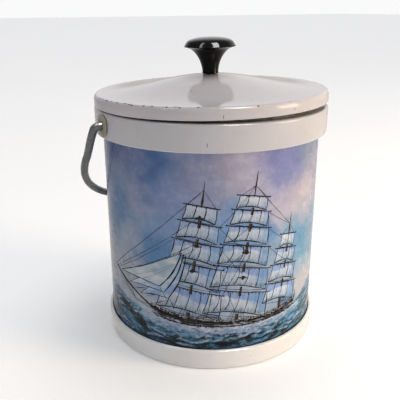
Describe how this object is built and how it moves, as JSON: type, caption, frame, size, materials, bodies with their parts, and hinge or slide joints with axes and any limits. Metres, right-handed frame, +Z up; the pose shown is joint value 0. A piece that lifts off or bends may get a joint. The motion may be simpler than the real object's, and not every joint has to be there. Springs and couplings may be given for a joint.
{
  "type": "ice bucket",
  "caption": "Insulated cylindrical ice bucket with a printed tin sleeve, white collar and base cap, plastic tub, wire bail handle and a lift-off domed lid with a black knob.",
  "frame": {"origin": "centre of the flat underside of the base cap, where the bucket stands", "axes": "+Z up along the bucket's axis, towards the knob; X along the bail's pivots; the bail hangs back over +Y"},
  "size_m": [0.1986, 0.1812, 0.234],
  "materials": {
    "sleeve_print": "gloss",
    "white_enamel": "gloss",
    "white_enamel_lid": "gloss",
    "tub_plastic": "satin",
    "foam": "matte",
    "bushing_plastic": "satin",
    "bail_steel": "satin",
    "spring_steel": "satin",
    "fibre_washer": "matte",
    "gasket_vinyl": "satin",
    "black_phenolic": "polished",
    "insert_brass": "satin",
    "screw_steel": "satin"
  },
  "bodies": {
    "bucket": {"body_sleeve": "sleeve_print", "top_collar": "white_enamel", "base_cap": "white_enamel", "ice_liner": "tub_plastic", "foam_jacket": "foam", "foam_base_pad": "foam", "bail_bushing_left": "bushing_plastic", "bail_bushing_right": "bushing_plastic"},
    "bail": {"bail_handle": "bail_steel", "push_nut_left": "spring_steel", "push_nut_right": "spring_steel", "pivot_washer_left": "fibre_washer", "pivot_washer_right": "fibre_washer"},
    "lid": {"lid_shell": "white_enamel_lid", "lid_liner": "tub_plastic", "lid_foam_disc": "foam", "lid_gasket": "gasket_vinyl", "knob": "black_phenolic", "knob_insert": "insert_brass", "knob_screw": "screw_steel", "knob_washer": "screw_steel"}
  },
  "joints": [
    {"name": "lid_lift", "type": "slide", "parent": "bucket", "child": "lid", "axis": [0, 0, 1], "range_m": [0, 0.12]},
    {"name": "bail_swing", "type": "hinge", "parent": "bucket", "child": "bail", "pos_m": [0, 0, 0.1765], "axis": [1, 0, 0], "range_deg": [0, 270]}
  ]
}
